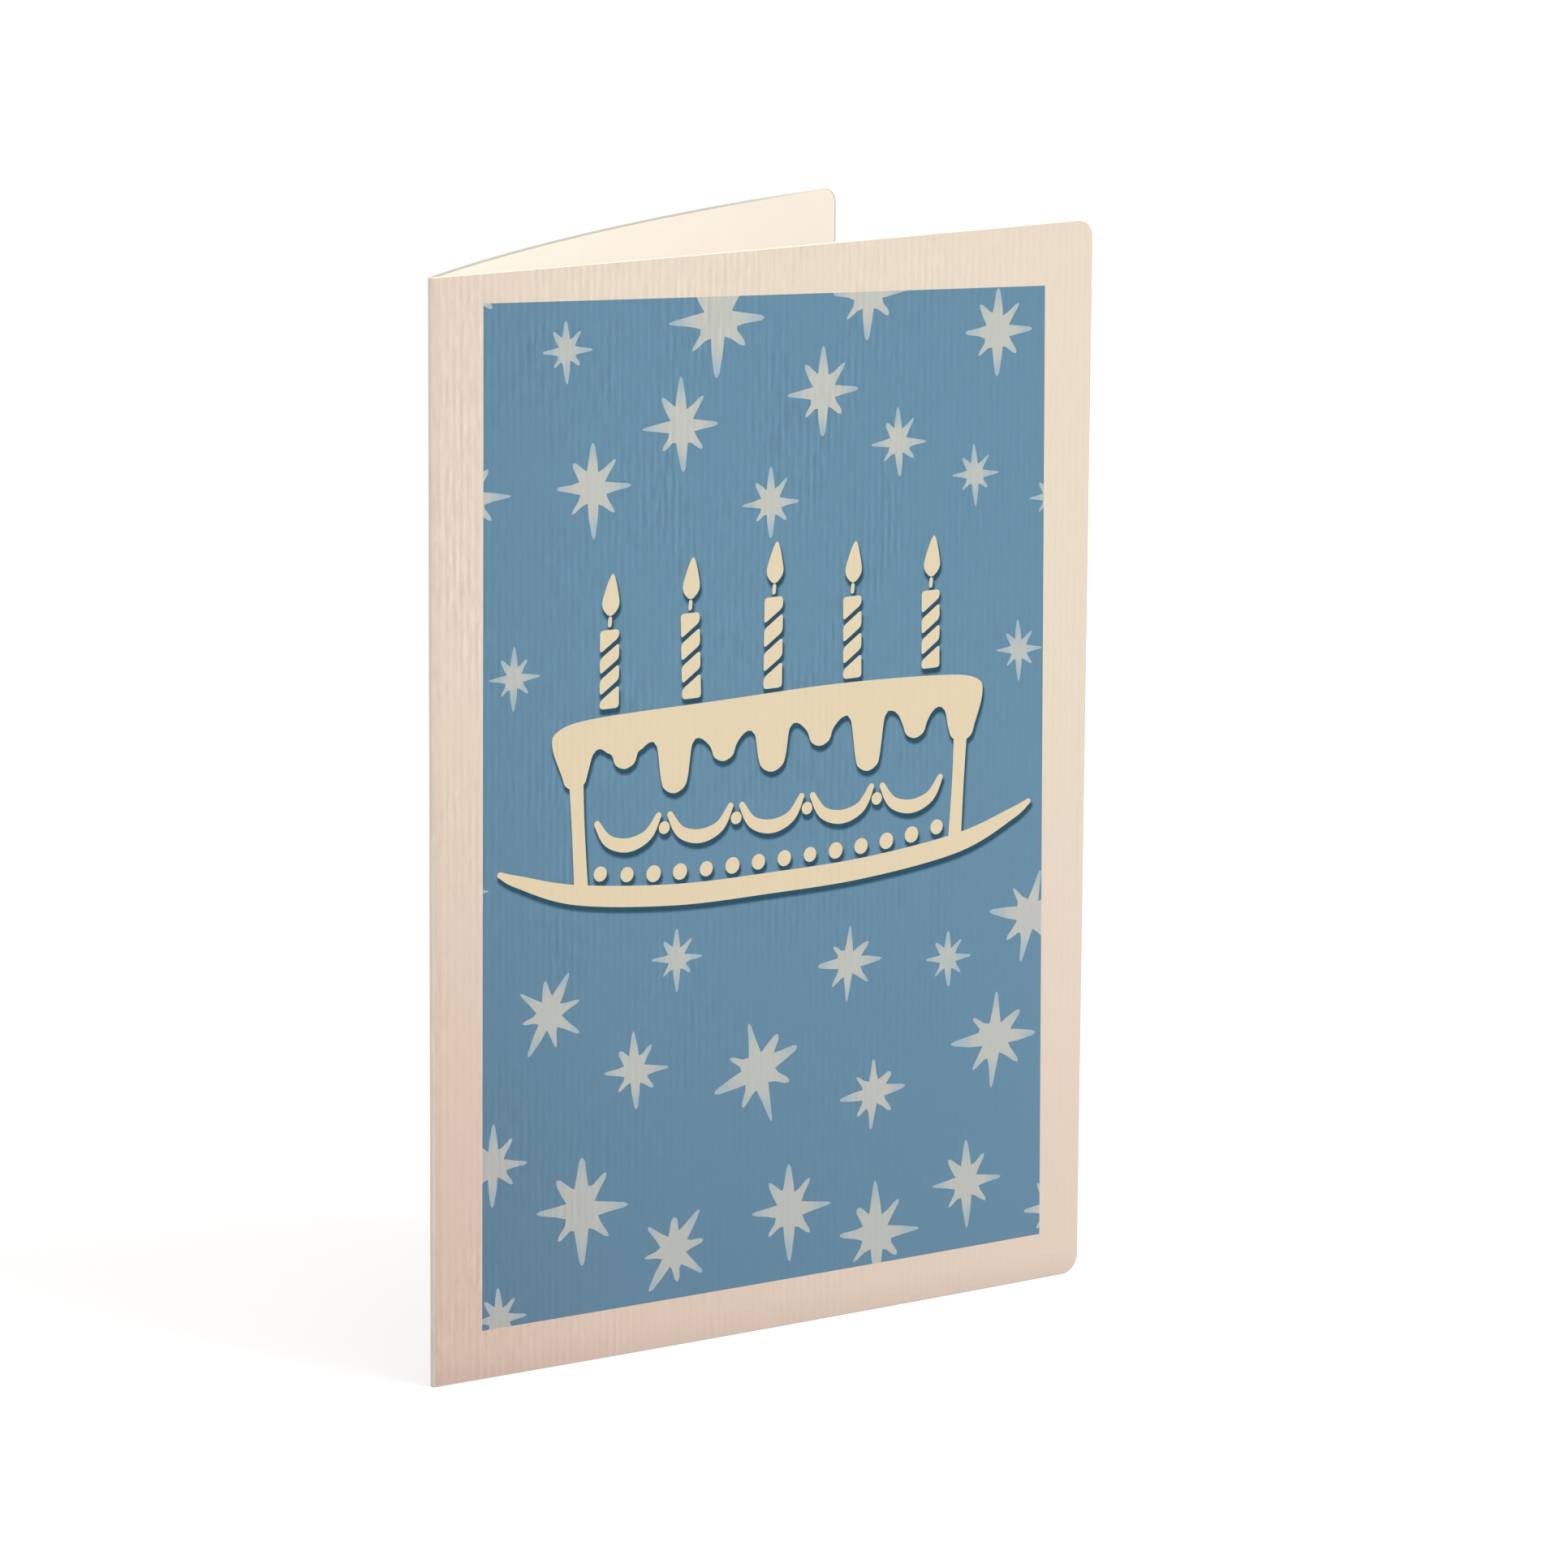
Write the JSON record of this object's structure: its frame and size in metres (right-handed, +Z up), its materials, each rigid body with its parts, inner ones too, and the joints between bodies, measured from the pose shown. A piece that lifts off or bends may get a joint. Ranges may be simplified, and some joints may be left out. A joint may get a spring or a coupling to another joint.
{
  "type": "greeting card",
  "caption": "Folded greeting card standing half open on its bottom edges, laid card stock with a framed star print.",
  "frame": {"origin": "middle of the bounding box of the half open card, on the surface it stands on", "axes": "+Z up along the fold, +X from the fold to the front leaf's fore edge, and the cover faces -Y"},
  "size_m": [0.1272, 0.056, 0.178],
  "materials": {
    "laid_card": "matt laid card stock, printed on the cover"
  },
  "bodies": {
    "root": {"card": "laid_card"}
  },
  "joints": []
}
